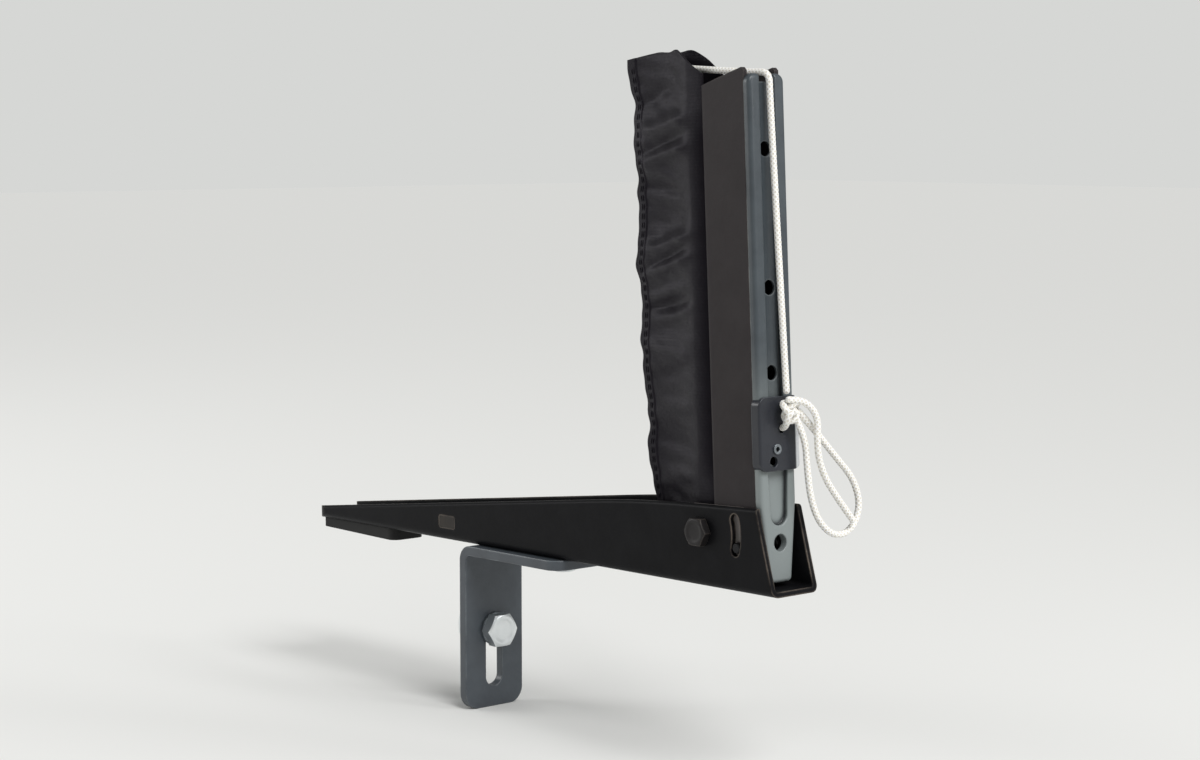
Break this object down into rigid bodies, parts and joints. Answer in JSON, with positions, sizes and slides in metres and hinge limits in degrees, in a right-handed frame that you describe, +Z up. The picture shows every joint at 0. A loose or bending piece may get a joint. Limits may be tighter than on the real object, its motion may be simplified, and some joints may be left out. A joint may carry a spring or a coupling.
{
  "type": "table tennis net clamp",
  "caption": "Steel net clamp: channel arm with strap bolt, tilting net post with cord slider, white tension cord and black net end sleeve.",
  "frame": {"origin": "on the strap's back face, on the axis of its clamping bolt at rest", "axes": "+X outwards along the net line, away from the table; +Y along the table's length; +Z up"},
  "size_m": [0.2248, 0.0392, 0.2049],
  "materials": {
    "black_paint": "satin black powder coat",
    "post_paint": "matt dark brown-black powder coat",
    "bar_paint": "satin dark grey powder coat",
    "slider_paint": "satin blue-black paint",
    "grey_paint": "satin grey powder coat",
    "bright_zinc": "bright zinc plate",
    "bright_steel": "drawn steel",
    "black_fasteners": "black zinc plate",
    "grey_nylon": "natural grey nylon",
    "pad_rubber": "black rubber",
    "black_fabric": "black satin-weave polyester",
    "white_cord": "white braided polyester cord"
  },
  "bodies": {
    "clamp_frame": {"arm_channel": "black_paint", "tip_pad": "pad_rubber", "pad_rivets": "black_fasteners", "cross_bar": "post_paint", "strap_bracket": "grey_paint", "strap_rivets": "bright_zinc", "pivot_bolt": "black_fasteners", "pivot_nut": "black_fasteners"},
    "clamp_fastener": {"clamp_bolt": "bright_zinc", "clamp_washers": "bright_zinc", "clamp_nut": "bright_zinc"},
    "post": {"post_channel": "post_paint", "face_bar": "bar_paint", "pivot_bush": "bright_steel", "pivot_shims": "grey_nylon", "guide_pin": "black_fasteners", "guide_clips": "bright_steel", "net_rod": "bright_steel", "rod_clips": "post_paint", "net_sleeve": "black_fabric", "cord_run": "white_cord"},
    "slider": {"tension_slider": "slider_paint", "slider_eyelet": "bright_zinc", "cord_knot": "white_cord", "cord_loop": "white_cord", "cord_tail": "white_cord"}
  },
  "joints": [
    {"name": "height_slide", "type": "slide", "parent": "clamp_frame", "child": "clamp_fastener", "axis": [0, 0, 1], "range_m": [-0.015, 0.001]},
    {"name": "post_tilt", "type": "hinge", "parent": "clamp_frame", "child": "post", "pos_m": [0.10874, 0, 0.04534], "axis": [0, -1, 0], "range_deg": [-1.5, 30]},
    {"name": "tension_slide", "type": "slide", "parent": "post", "child": "slider", "axis": [-0.0523, 0, 0.9986], "range_m": [0, 0.024], "deforming": ["cord_run"]}
  ]
}
